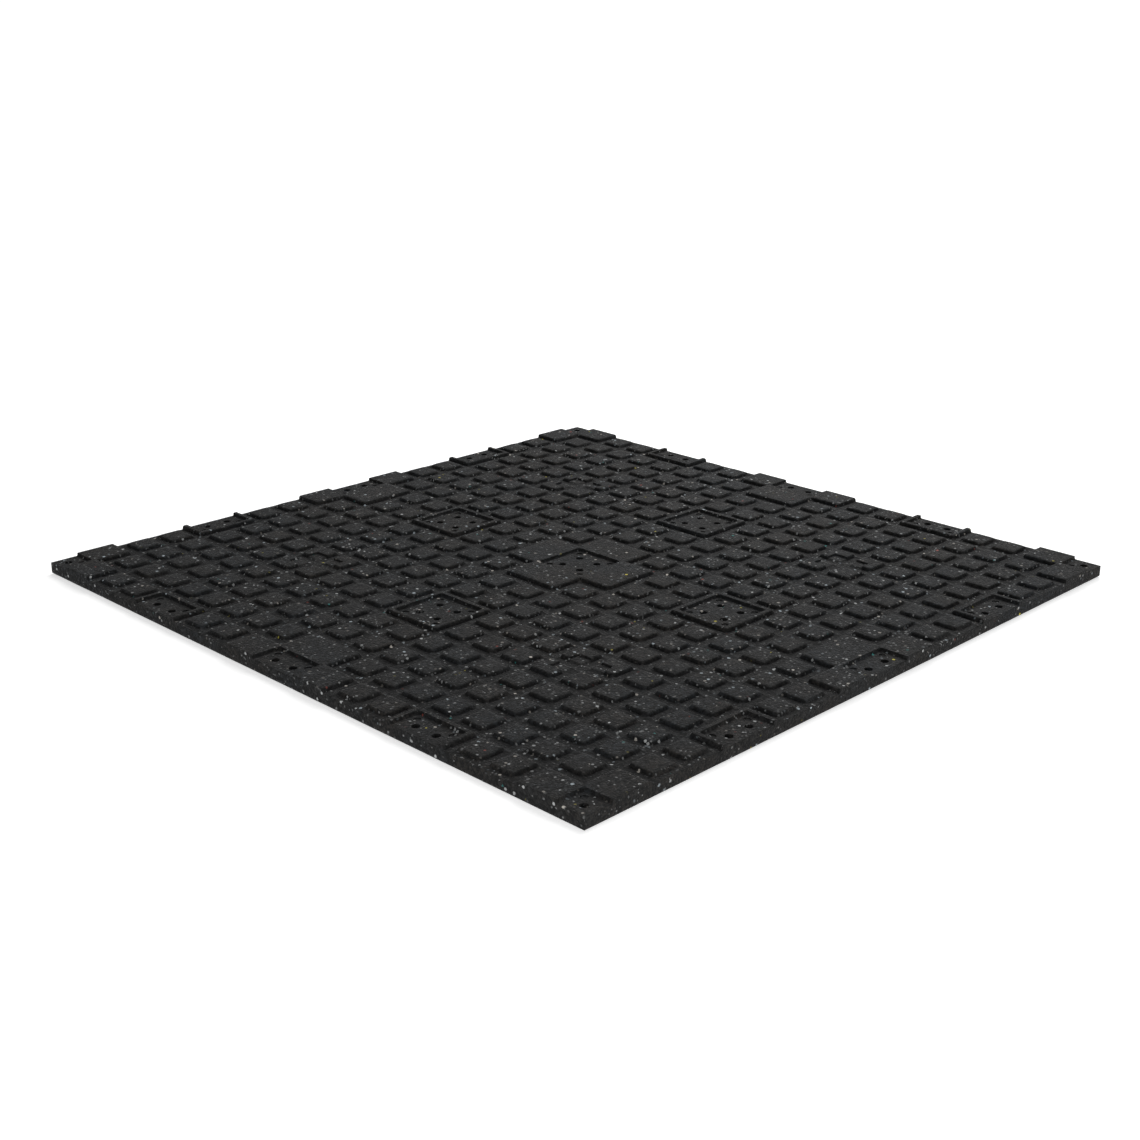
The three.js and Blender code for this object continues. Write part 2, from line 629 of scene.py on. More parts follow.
    def _shape(
        self,
        net: NetPair,
        place: tuple[np.ndarray | float, np.ndarray | float],
        half: tuple[float, float],
        radius: float,
    ) -> tuple[np.ndarray, np.ndarray, NetPair]:
        """Fits the net around one rounded rectangle.

        Args:
            net: X and Y of the net before any corner is rounded.
            place: middle of the rectangle, one for all or one for each point.
            half: half sizes of the rectangle.
            radius: radius of its corners.

        Returns:
            Each point's distance outside the line, its nearness to a corner between zero and one, and
            its shifts along X and Y.
        """
        x, y = net
        u, v = np.abs(x - place[0]) - half[0], np.abs(y - place[1]) - half[1]
        new_u, new_v = self._round_corner(u, v, radius)
        moved = ((new_u - u) * np.sign(x - place[0]), (new_v - v) * np.sign(y - place[1]))
        return np.maximum(u, v), self.corners.nearness(u, v), moved

    def _raised(self, edge: EdgeProfile, ring: np.ndarray, corner: np.ndarray) -> np.ndarray:
        """Works out the heights of a raised shape whose corners are softer than its sides.

        Args:
            edge: the shape's edge between its corners.
            ring: distances outside the shape's line.
            corner: nearness to a corner, between zero and one.

        Returns:
            One height for each distance.
        """
        return edge.at(ring) * (1 - corner) + self.corners.soften(edge).at(ring) * corner

    def _inner_corners(self, x: np.ndarray, y: np.ndarray) -> np.ndarray:
        """Works out the heights of the rubber that fills the four inner corners of a plus pad.

        Args:
            x: places along X, from the pad's middle.
            y: places along Y, from the pad's middle.

        Returns:
            One height for each place, that of the groove floor where there is no fill.
        """
        s = self.sizes
        out_x, out_y = np.abs(x) - s.arm_half_width, np.abs(y) - s.arm_half_width
        rise = s.inner_corner_fill * (1 - np.hypot(out_x, out_y) / s.inner_corner_reach)
        return np.where((out_x > 0) & (out_y > 0), s.slab_top + rise, s.slab_top)

    @staticmethod
    def _keep_larger(shift: NetPair, moved: NetPair, where: np.ndarray) -> None:
        """Keeps the largest shift that any shape asks of a point.

        Args:
            shift: the largest shifts so far, changed in place.
            moved: the shifts that one shape asks for.
            where: which points belong to that shape.
        """
        larger = where & (np.hypot(*moved) > np.hypot(*shift))
        for kept, asked in zip(shift, moved):
            kept[larger] = asked[larger]

    def _studs(self, net: NetPair, shift: NetPair) -> np.ndarray:
        """Raises the studs from the groove floor.

        Args:
            net: X and Y of the net before any corner is rounded.
            shift: the net's shifts so far, changed in place.

        Returns:
            The net's heights.
        """
        s = self.sizes
        places = s.stud_places
        nearest = np.abs(self.lines[:, None] - places[None, :]).argmin(axis=1)
        centre_x, centre_y = np.meshgrid(places[nearest], places[nearest], indexing="ij")
        present = self._stud_present()[np.ix_(nearest, nearest)]
        half = (s.stud_side / 2, s.stud_side / 2)
        ring, corner, moved = self._shape(net, (centre_x, centre_y), half, s.stud_corner)
        self._keep_larger(shift, moved, present)
        raised = np.maximum(s.slab_top, self._raised(self.stud_edge, ring, corner))
        return np.where(present, raised, s.slab_top)

    def _pads_and_rims(self, net: NetPair, shift: NetPair, z: np.ndarray) -> np.ndarray:
        """Raises the plus pads, the fill in their inner corners, and the rims.

        Args:
            net: X and Y of the net before any corner is rounded.
            shift: the net's shifts so far, changed in place.
            z: the net's heights so far.

        Returns:
            The net's heights.
        """
        s, edge = self.sizes, self.pad_edge
        for x, y, half_x, half_y in s.raised_areas:
            ring, corner, moved = self._shape(net, (x, y), (half_x, half_y), s.pad_corner)
            near = ring <= edge.distances[-1]
            z = np.where(near, np.maximum(z, self._raised(edge, ring, corner)), z)
            self._keep_larger(shift, moved, near)
        for x, y in s.plus_centres:
            z = np.maximum(z, self._inner_corners(net[0] - x, net[1] - y))
        return z

    def _recesses_and_pockets(self, net: NetPair, shift: NetPair, z: np.ndarray) -> np.ndarray:
        """Cuts the connector recesses and the pockets.

        Args:
            net: X and Y of the net before any corner is rounded.
            shift: the net's shifts so far, changed in place.
            z: the net's heights so far.

        Returns:
            The net's heights.
        """
        s = self.sizes
        recess = (s.recess_side / 2, s.recess_side / 2)
        pocket = (s.pocket_length / 2, s.pocket_width / 2)
        cuts = [(centre, recess, s.recess_corner, self.recess_edge) for centre in s.recess_centres]
        cuts += [(centre, pocket, s.pocket_corner, self.pocket_edge) for centre in s.quarter_centres]
        for centre, half, radius, edge in cuts:
            ring, _, moved = self._shape(net, centre, half, radius)
            near = ring < edge.distances[-1]
            z = np.where(near, np.minimum(z, edge.at(ring)), z)
            self._keep_larger(shift, moved, near)
        return z

    def points(self) -> tuple[np.ndarray, np.ndarray, np.ndarray]:
        """Works out the whole studded face.

        Returns:
            X, Y and Z of every crossing of the net.
        """
        x, y = np.meshgrid(self.lines, self.lines, indexing="ij")
        shift = (np.zeros_like(x), np.zeros_like(y))
        z = self._studs((x, y), shift)
        z = self._pads_and_rims((x, y), shift, z)
        z = self._recesses_and_pockets((x, y), shift, z)
        return x + shift[0], y + shift[1], z

    def roughen(self, points: np.ndarray) -> np.ndarray:
        """Adds the crumb's slow unevenness.

        Args:
            points: places in millimetres, one row each.

        Returns:
            The places after it, still inside the tile's own box.
        """
        s, noise = self.sizes, self.unevenness
        x, y, z = points.T
        side = np.clip((s.half - np.maximum(np.abs(x), np.abs(y))) / noise.border, 0.0, 1.0)
        upper = np.clip(z / s.slab_top, 0.0, 1.0)
        moved = points.copy()
        moved[:, 0] += noise.wander(x, y, Wander.ALONG_X) * noise.sideways * side
        moved[:, 1] += noise.wander(x, y, Wander.ALONG_Y) * noise.sideways * side
        sunk = (noise.wander(x, y, Wander.UPRIGHT) - 1.0) * noise.upright * upper
        moved[:, 2] += sunk * np.minimum(side + noise.border_share, 1.0)
        return moved


@dataclass(frozen=True)
class EdgeWear:
    """A line along the tile's outer edges where the rubber is slightly worn in.

    Attributes:
        height: its height, as a share of the edge's own height.
        depth: most that it is worn in, in millimetres.
    """

    height: float
    depth: float


@dataclass
class RubberTile:
    """The whole moulded tile as one mesh.

    Attributes:
        sizes: sizes of the tile.
        unevenness: slow unevenness of the crumb.
        hole_segments: about how many vertices a hole has around it.
        fewest_steps: fewest vertices of a hole for each one of the square around it.
        upper_wear: worn line high on the outer edges.
        lower_wear: worn line low on the outer edges.
        smooth_below_degrees: angle between faces above which an edge is shaded sharp.
        vertices: the mesh's vertices so far, in millimetres.
        faces: its faces so far.
        count: number of its vertices so far.
    """

    sizes: TileSizes = field(default_factory=TileSizes)
    unevenness: CrumbUnevenness = field(default_factory=CrumbUnevenness)
    hole_segments: int = 20
    fewest_steps: int = 2
    upper_wear: EdgeWear = EdgeWear(0.62, 0.5)
    lower_wear: EdgeWear = EdgeWear(0.3, 0.35)
    smooth_below_degrees: float = 62.0
    vertices: list[np.ndarray] = field(default_factory=list, init=False)
    faces: list[tuple[int, ...]] = field(default_factory=list, init=False)
    count: int = field(default=0, init=False)

    def _add(self, points: np.ndarray) -> np.ndarray:
        """Adds vertices.

        Args:
            points: one row for each vertex, in millimetres.

        Returns:
            The new vertices' numbers.
        """
        self.vertices.append(points)
        numbers = np.arange(self.count, self.count + len(points))
        self.count += len(points)
        return numbers

    def _face(self, *numbers: int) -> None:
        """Adds one face between vertices, which go anticlockwise as seen from outside."""
        self.faces.append(tuple(int(number) for number in numbers))

    def _hole_angles(self, outline: list[int], hole: RoundHole, steps: int) -> np.ndarray:
        """Works out where around a hole its vertices lie.

        Args:
            outline: the net's vertices around the hole's square, anticlockwise.
            hole: the hole.
            steps: number of its vertices for each one of the outline.

        Returns:
            Their angles, in radians.
        """
        known = self.vertices[0]
        angles = []
        for k, number in enumerate(outline):
            here, there = known[number], known[outline[(k + 1) % len(outline)]]
            start = math.atan2(here[1] - hole.centre[1], here[0] - hole.centre[0])
            end = math.atan2(there[1] - hole.centre[1], there[0] - hole.centre[0])
            turn = (end - start) % (2 * math.pi)
            angles += [start + turn * step / steps for step in range(steps)]
        return np.array(angles)

    def _round_hole(self, outline: list[int], hole: RoundHole) -> None:
        """Lets a round hole or dimple into the net.

        Args:
            outline: the net's vertices around the hole's square, anticlockwise.
            hole: the hole.
        """
        steps = max(self.fewest_steps, round(self.hole_segments / len(outline)))
        total = steps * len(outline)
        angle = self._hole_angles(outline, hole, steps)
        rings = []
        for radius, height in hole.rings:
            x = hole.centre[0] + radius * np.cos(angle)
            y = hole.centre[1] + radius * np.sin(angle)
            rings.append(self._add(np.column_stack([x, y, np.full(total, height)])))
        for k in range(len(outline)):
            ahead = (k + 1) % len(outline)
            mouth = [rings[0][(k * steps + step) % total] for step in range(steps, -1, -1)]
            self._face(outline[k], outline[ahead], *mouth)
        for upper, lower in zip(rings, rings[1:]):
            for k in range(total):
                ahead = (k + 1) % total
                self._face(upper[k], upper[ahead], lower[ahead], lower[k])
        self._face(*rings[-1])

    def _studded_face(self, relief: MouldedRelief) -> np.ndarray:
        """Makes the studded face with its pin holes and dimples.

        Args:
            relief: the face's places and heights.

        Returns:
            The net's vertex numbers, along X and then Y.
        """
        x, y, z = relief.points()
        numbers = self._add(np.column_stack([x.ravel(), y.ravel(), z.ravel()])).reshape(x.shape)
        whole_cells = np.ones((x.shape[0] - 1, x.shape[1] - 1), dtype=bool)
        for hole in relief.holes():
            i0, i1 = relief.lines_beside(hole.centre[0], hole.half)
            j0, j1 = relief.lines_beside(hole.centre[1], hole.half)
            whole_cells[i0:i1, j0:j1] = False
            outline = [*numbers[i0:i1, j0], *numbers[i1, j0:j1]]
            outline += [*numbers[i1:i0:-1, j1], *numbers[i0, j1:j0:-1]]
            self._round_hole(outline, hole)
        for i, j in zip(*np.nonzero(whole_cells)):
            self._face(numbers[i, j], numbers[i + 1, j], numbers[i + 1, j + 1], numbers[i, j + 1])
        return numbers

    def _edge_line(
        self, top: np.ndarray, outer: np.ndarray, height: np.ndarray | float, inset: np.ndarray | float
    ) -> np.ndarray:
        """Adds one line of vertices around the tile's outer edges.

        Args:
            top: the studded face's outermost vertices.
            outer: which of their X and Y lie at an outer edge.
            height: the line's height.
            inset: how far the line is set in.

        Returns:
            The new vertices' numbers.
        """
        reach = np.broadcast_to(self.sizes.half - np.asarray(inset), len(top))[:, None]
        places = top.copy()
        places[:, :2] = np.where(outer, np.sign(top[:, :2]) * reach, top[:, :2])
        places[:, 2] = height
        return self._add(places)

    def _edges_and_tread(self, net: np.ndarray) -> None:
        """Makes the four edges and the smooth tread face.

        Args:
            net: the studded face's vertex numbers, along X and then Y.
        """
        s, upper_wear, lower_wear = self.sizes, self.upper_wear, self.lower_wear
        loop = np.concatenate([net[:-1, 0], net[-1, :-1], net[:0:-1, -1], net[0, :0:-1]])
        top = self.vertices[0][loop]
        height = top[:, 2]
        outer = np.abs(top[:, :2]) > s.half - 2 * s.edge_round
        worn = np.clip(self.unevenness.wander(top[:, 0], top[:, 1], Wander.OUTER_EDGE), 0.0, 1.0)
        lines = (
            (height - s.edge_round, 0.0),
            (height * upper_wear.height, upper_wear.depth * worn),
            (height * lower_wear.height, lower_wear.depth * worn[::-1]),
            (s.tread_bevel, 0.0),
            (0.0, s.tread_bevel),
        )
        rings = [loop, *(self._edge_line(top, outer, level, inset) for level, inset in lines)]
        for upper, lower in zip(rings, rings[1:]):
            for k in range(len(loop)):
                ahead = (k + 1) % len(loop)
                self._face(upper[k], lower[k], lower[ahead], upper[ahead])
        self._face(*rings[-1][::-1])

    def build(self) -> bpy.types.Object:
        """Makes the tile's mesh.

        Returns:
            The tile as an object in the scene.
        """
        relief = MouldedRelief(self.sizes, self.unevenness)
        net = self._studded_face(relief)
        self._edges_and_tread(net)
        points = relief.roughen(np.vstack(self.vertices)) * METRES_PER_MM
        mesh = bpy.data.meshes.new("rubber_tile")
        mesh.from_pydata(points.tolist(), [], self.faces)
        mesh.validate()
        mesh.shade_smooth()
        mesh.set_sharp_from_angle(angle=math.radians(self.smooth_below_degrees))
        tile = bpy.data.objects.new("rubber_tile", mesh)
        bpy.context.scene.collection.objects.link(tile)
        weighted = tile.modifiers.new("even_faces", "WEIGHTED_NORMAL")
        weighted.keep_sharp = True
        return tile

    def dress(self, tile: bpy.types.Object, finish: "BondedCrumb") -> None:
        """Gives the tile its finish."""
        tile.data.materials.append(finish.material(self.sizes))


class Socket:
    """A shader socket that takes part in Python expressions."""

    def __init__(self, tree: "ShaderTree", link: bpy.types.NodeSocket) -> None:
        """Keeps the tree that the socket belongs to."""
        self.tree = tree
        self.link = link

    def _math(self, operation: str, first: "Socket | float", second: "Socket | float") -> "Socket":
        """Adds one Math node.

        Args:
            operation: the node's operation.
            first: its first value.
            second: its second value.

        Returns:
            The node's result.
        """
        node = self.tree.node("ShaderNodeMath", {"operation": operation}, {0: first, 1: second})
        return Socket(self.tree, node.outputs[0])

    def __add__(self, other: "Socket | float") -> "Socket":
        """Sum."""
        return self._math("ADD", self, other)

    def __radd__(self, other: float) -> "Socket":
        """Sum with a number in front."""
        return self._math("ADD", other, self)

    def __sub__(self, other: "Socket | float") -> "Socket":
        """Difference."""
        return self._math("SUBTRACT", self, other)

    def __rsub__(self, other: float) -> "Socket":
        """Difference from a number in front."""
        return self._math("SUBTRACT", other, self)

    def __mul__(self, other: "Socket | float") -> "Socket":
        """Product."""
        return self._math("MULTIPLY", self, other)

    def __rmul__(self, other: float) -> "Socket":
        """Product with a number in front."""
        return self._math("MULTIPLY", other, self)

    def __gt__(self, other: "Socket | float") -> "Socket":
        """One where this is greater, zero elsewhere."""
        return self._math("GREATER_THAN", self, other)

    def __lt__(self, other: "Socket | float") -> "Socket":
        """One where this is less, zero elsewhere."""
        return self._math("LESS_THAN", self, other)

    def ramp(self, low: float, high: float) -> "Socket":
        """Zero below the low value, one above the high one, and a smooth rise between.

        Args:
            low: where the rise starts.
            high: where it ends.

        Returns:
            The result, between zero and one.
        """
        node = self.tree.node(
            "ShaderNodeMapRange",
            {"interpolation_type": "SMOOTHSTEP"},
            {"Value": self, "From Min": low, "From Max": high},
        )
        return Socket(self.tree, node.outputs["Result"])


class ShaderTree:
    """The nodes of one material or of the sky."""

    # A Mix node's colour sockets share their names with its other sockets, so they go by number.
    MIX_FACTOR, MIX_FIRST, MIX_SECOND, MIX_RESULT = 0, 6, 7, 2
    CLOUD_ROUGHNESS = 0.6

    def __init__(self, owner: bpy.types.Material | bpy.types.World) -> None:
        """Empties the owner's nodes.

        Args:
            owner: what the nodes belong to.
        """
        owner.use_nodes = True
        self.owner = owner
        self.nodes = owner.node_tree.nodes
        self.links = owner.node_tree.links
        self.nodes.clear()

    def node(self, kind: str, settings: dict, sockets: dict) -> bpy.types.Node:
        """Adds one node.

        Args:
            kind: the node's type.
            settings: its settings, set before its sockets.
            sockets: a value or a link for each socket, by name or number.

        Returns:
            The new node.
        """
        made = self.nodes.new(kind)
        for name, value in settings.items():
            if name == "stops":
                self._set_stops(made.color_ramp, value)
            else:
                setattr(made, name, value)
        for name, value in sockets.items():
            if isinstance(value, Socket):
                self.links.new(value.link, made.inputs[name])
            else:
                made.inputs[name].default_value = value
        return made

    @staticmethod
    def _set_stops(ramp: bpy.types.ColorRamp, stops: tuple[tuple[float, Colour], ...]) -> None:
        """Gives a ramp its steps.

        Args:
            ramp: the ramp.
            stops: place and colour of each step.
        """
        ramp.interpolation = "CONSTANT"
        while len(ramp.elements) < len(stops):
            ramp.elements.new(1.0)
        for element, (place, colour) in zip(ramp.elements, stops):
            element.position, element.color = place, colour

    def out(self, node: bpy.types.Node, name: str | int = 0) -> Socket:
        """One output of a node."""
        return Socket(self, node.outputs[name])

    def mix(self, factor: Socket | float, first: Socket | Colour, second: Socket | Colour) -> Socket:
        """Mixes two colours.

        Args:
            factor: share of the second colour.
            first: colour at zero.
            second: colour at one.

        Returns:
            The mixed colour.
        """
        sockets = {self.MIX_FACTOR: factor, self.MIX_FIRST: first, self.MIX_SECOND: second}
        node = self.node("ShaderNodeMix", {"data_type": "RGBA"}, sockets)
        return self.out(node, self.MIX_RESULT)

    def crumbs(self, where: Socket, per_metre: float) -> tuple[Socket, Socket, Socket, Socket]:
        """Splits space into crumbs.

        Args:
            where: place in metres.
            per_metre: crumbs in a metre.

        Returns:
            Distance from the crumb's middle, and three unlike numbers that each crumb has of its own.
        """
        cells = self.node("ShaderNodeTexVoronoi", {}, {"Vector": where, "Scale": per_metre})
        parts = self.node("ShaderNodeSeparateColor", {}, {0: self.out(cells, "Color")})
        return self.out(cells, "Distance"), self.out(parts, 0), self.out(parts, 1), self.out(parts, 2)

    def noise(self, where: Socket, per_metre: float, detail: float) -> Socket:
        """Cloudy noise.

        Args:
            where: place in metres.
            per_metre: clouds in a metre.
            detail: layers of finer clouds.

        Returns:
            Noise around one half.
        """
        node = self.node(
            "ShaderNodeTexNoise", {},
            {"Vector": where, "Scale": per_metre, "Detail": detail, "Roughness": self.CLOUD_ROUGHNESS},
        )
        return self.out(node, 0)


@dataclass(frozen=True)
class Grains:
    """One size of grain in the rubber.

    Attributes:
        per_metre: grains in a metre.
        contrast: how far the grains differ in tone.
        gap: how much darker the gaps between them are.
        bump: how much of the bump is theirs.
    """

    per_metre: float
    contrast: float
    gap: float
    bump: float


@dataclass(frozen=True)
class Flecks:
    """One kind of pale fleck among the crumbs.

    Attributes:
        per_metre: crumbs of this size in a metre.
        share: share of those crumbs that are pale.
        reach: how far from its middle a fleck starts and ends to fade, in crumbs.
        strength: how much of the fleck's colour shows, at most.
    """

    per_metre: float
    share: float
    reach: tuple[float, float]
    strength: float


@dataclass(frozen=True)
class Patches:
    """Soft patches in which the rubber is of another kind.

    Attributes:
        per_metre: patches in a metre.
        detail: layers of finer patches.
        step: where the noise turns from one kind to the other.
    """

    per_metre: float
    detail: float
    step: tuple[float, float]


@dataclass(frozen=True)
class BondedCrumb:
    """Finish of black rubber crumb bonded under pressure, with pale flecks among it, and painted shade on
    its groove floors and steep walls.

    Attributes:
        dark: colour of the binder.
        worn_cool: colour of a worn crumb in the cooler batches of rubber.
        worn_warm: colour of a worn crumb in the warmer ones.
        fleck_colours: where each fleck colour starts among the flecks, from zero to one.
        faintest_fleck: least share of a fleck's colour that shows.
        grain_edge: where a grain ends and its gap starts, in grains from its middle.
        grain_dome: where a grain's dome starts and ends to fall, in grains from its middle.
        ragged_per_metre: bends in a metre of a grain's outline.
        ragged_detail: layers of finer bends.
        ragged_reach: how far the outline bends, in metres.
        clouds_per_metre: lighter and darker clouds in a metre.
        cloud_detail: layers of finer clouds.
        cloud_contrast: how far the clouds differ in tone.
        cloud_bump: how much of the bump is theirs.
        wall_facing: how far up a face looks where a steep wall ends and a level face starts.
        wall_painted_shade: painted shade on the steep walls inside the tile, as the share of the worn colour
            that they lack.
        wall_wear: how much more of it the patches on a wall have.
        groove_painted_shade: painted shade on the groove floors, as the share of the worn colour that they
            lack.
        groove_rise: height above the groove floor at which this painted shade ends, in millimetres.
        edge_strip: width of the strip along the outer edges that gets no painted shade, in millimetres.
        roughness: that of the smoothest crumb.
        dry_roughness: how much rougher the driest crumb is.
        bump_height: that of the bump, in metres.
        bloom: pale haze at grazing angles.
    """

    dark: Colour = (0.0030, 0.0031, 0.0032, 1.0)
    worn_cool: Colour = (0.0125, 0.0145, 0.0165, 1.0)
    worn_warm: Colour = (0.0162, 0.0144, 0.0128, 1.0)
    fleck_colours: tuple[tuple[float, Colour], ...] = (
        (0.0, (0.42, 0.43, 0.43, 1.0)),
        (0.72, (0.37, 0.42, 0.45, 1.0)),
        (0.84, (0.46, 0.43, 0.39, 1.0)),
        (0.976, (0.60, 0.52, 0.08, 1.0)),
        (0.984, (0.06, 0.34, 0.32, 1.0)),
        (0.992, (0.38, 0.08, 0.06, 1.0)),
    )
    fine_flecks: Flecks = Flecks(350.0, 0.065, (0.40, 0.60), 0.46)
    coarse_flecks: Flecks = Flecks(235.0, 0.046, (0.36, 0.52), 1.0)
    faintest_fleck: float = 0.15
    crumbs: Grains = Grains(300.0, 1.5, 0.30, 0.55)
    grit: Grains = Grains(560.0, 1.0, 0.20, 0.3)
    grain_edge: tuple[float, float] = (0.40, 0.80)
    grain_dome: tuple[float, float] = (0.0, 0.7)
    ragged_per_metre: float = 520.0
    ragged_detail: float = 2.0
    ragged_reach: float = 0.0022
    clouds_per_metre: float = 26.0
    cloud_detail: float = 4.0
    cloud_contrast: float = 0.8
    cloud_bump: float = 0.25
    batches: Patches = Patches(11.0, 2.0, (0.35, 0.65))
    wall_facing: tuple[float, float] = (0.35, 0.80)
    # Painted shade on the steep walls inside the tile.
    wall_painted_shade: float = 0.16
    wall_wear: float = 2.2
    wall_patches: Patches = Patches(48.0, 2.0, (0.50, 0.72))
    # Painted shade on the groove floors inside the tile.
    groove_painted_shade: float = 0.7
    groove_rise: float = 0.8
    edge_strip: float = 1.0
    roughness: float = 0.84
    dry_roughness: float = 0.12
    bump_strength: float = 0.8
    bump_height: float = 0.0008
    gloss: float = 0.25
    bloom: float = 0.178
    bloom_roughness: float = 0.22

    def _flecks(self, tree: ShaderTree, where: Socket, kind: Flecks) -> tuple[Socket, Socket]:
        """Works out one kind of fleck.

        Args:
            tree: the material's nodes.
            where: place in metres.
            kind: the kind of fleck.

        Returns:
            How much of the fleck shows, between zero and one, and its colour.
        """
        spot, chance, bright, tint = tree.crumbs(where, kind.per_metre)
        pale = (chance > 1.0 - kind.share) * (1.0 - spot.ramp(*kind.reach))
        shown = bright * bright * (1.0 - self.faintest_fleck) + self.faintest_fleck
        ramp = tree.node("ShaderNodeValToRGB", {"stops": self.fleck_colours}, {0: tint})
        return pale * shown * kind.strength, tree.out(ramp)

    @staticmethod
    def _patches(tree: ShaderTree, place: Socket, kind: Patches) -> Socket:
        """Works out one kind of patches.

        Args:
            tree: the material's nodes.
            place: place in metres.
            kind: the kind of patches.

        Returns:
            One inside a patch, zero outside.
        """
        return tree.noise(place, kind.per_metre, kind.detail).ramp(*kind.step)

    def _wear_and_painted_shade(self, tree: ShaderTree, place: Socket, sizes: TileSizes) -> Socket:
        """Works out how much worn crumb shows through the dark binder, less the painted shade on groove
        floors and steep walls.

        Args:
            tree: the material's nodes.
            place: place in metres.
            sizes: sizes of the tile.

        Returns:
            One on the level tops and on the tile's outer edges, less on groove floors and steep walls where
            shade is painted, and more in the worn patches of a wall.
        """
        facing = tree.out(tree.node("ShaderNodeTexCoord", {}, {}), "Normal")
        upright = tree.out(tree.node("ShaderNodeSeparateXYZ", {}, {0: facing}), 2)
        parts = tree.node("ShaderNodeSeparateXYZ", {}, {0: place})
        x, y, height = (tree.out(parts, axis) for axis in range(3))
        limit = (sizes.half - self.edge_strip) * METRES_PER_MM
        inside = (x < limit) * (x > -limit) * ((y < limit) * (y > -limit))
        # Steep walls inside the tile, which get painted shade.
        wall = (1.0 - upright.ramp(*self.wall_facing)) * inside
        floor, above = sizes.slab_top * METRES_PER_MM, (sizes.slab_top + self.groove_rise) * METRES_PER_MM
        # Groove floors inside the tile, which get painted shade.
        sunk = (1.0 - height.ramp(floor, above)) * (1.0 - wall) * inside
        patch = self._patches(tree, place, self.wall_patches)
        # Takes away worn colour as painted shade on groove floors and steep walls, and adds it back in a
        # wall's worn patches.
        return 1.0 - self.groove_painted_shade * sunk - wall * (self.wall_painted_shade - self.wall_wear * patch)

    def _ragged(self, tree: ShaderTree, place: Socket) -> Socket:
        """Bends space a little, so that the grains have ragged outlines.

        Args:
            tree: the material's nodes.
            place: place in metres.

        Returns:
            The bent place.
        """
        bends = tree.node(
            "ShaderNodeTexNoise", {},
            {"Vector": place, "Scale": self.ragged_per_metre, "Detail": self.ragged_detail},
        )
        bent = tree.node(
            "ShaderNodeVectorMath", {"operation": "MULTIPLY_ADD"},
            {0: tree.out(bends, "Color"), 1: (self.ragged_reach,) * 3, 2: place},
        )
        return tree.out(bent)

    def material(self, sizes: TileSizes) -> bpy.types.Material:
        """Makes the material.

        Args:
            sizes: sizes of the tile.

        Returns:
            The finished material.
        """
        tree = ShaderTree(bpy.data.materials.new("bonded_crumb"))
        place = tree.out(tree.node("ShaderNodeTexCoord", {}, {}), "Object")
        where = self._ragged(tree, place)
        crumb, crumb_shade, dryness, _ = tree.crumbs(where, self.crumbs.per_metre)
        grit, grit_shade, _, _ = tree.crumbs(where, self.grit.per_metre)
        cloud = tree.noise(place, self.clouds_per_metre, self.cloud_detail)
        tone = (
            MIDDLE
            + self.crumbs.contrast * (crumb_shade - MIDDLE)
            + self.grit.contrast * (grit_shade - MIDDLE)
            + self.cloud_contrast * (cloud - MIDDLE)
        )
        gaps = crumb.ramp(*self.grain_edge) * self.crumbs.gap + grit.ramp(*self.grain_edge) * self.grit.gap
        worn = tree.mix(self._patches(tree, place, self.batches), self.worn_cool, self.worn_warm)
        # The worn colour shows less where shade is painted on groove floors and steep walls.
        colour = tree.mix((tone - gaps) * self._wear_and_painted_shade(tree, place, sizes), self.dark, worn)
        for kind in (self.fine_flecks, self.coarse_flecks):
            pale, fleck = self._flecks(tree, where, kind)
            colour = tree.mix(pale, colour, fleck)
        height = (
            self.crumbs.bump * (1.0 - crumb.ramp(*self.grain_dome))
            + self.grit.bump * (1.0 - grit.ramp(*self.grain_dome))
            + self.cloud_bump * cloud
        )
        bump = tree.node(
            "ShaderNodeBump", {},
            {"Strength": self.bump_strength, "Distance": self.bump_height, "Height": height},
        )
        shader = tree.node(
            "ShaderNodeBsdfPrincipled", {},
            {
                "Base Color": colour,
                "Roughness": self.roughness + self.dry_roughness * dryness,
                "Specular IOR Level": self.gloss,
                "Sheen Weight": self.bloom,
                "Sheen Roughness": self.bloom_roughness,
                "Normal": tree.out(bump),
            },
        )
        tree.node("ShaderNodeOutputMaterial", {}, {"Surface": tree.out(shader)})
        return tree.owner


def outward(azimuth: float, elevation: float) -> Vector:
    """Direction out from the tile's middle.

    Args:
        azimuth: 0 lies along -Y and 90 along +X, in degrees.
        elevation: angle above the floor, in degrees.

    Returns:
        A vector of length one.
    """
    turn, rise = math.radians(azimuth), math.radians(elevation)
    return Vector((math.sin(turn) * math.cos(rise), -math.cos(turn) * math.cos(rise), math.sin(rise)))


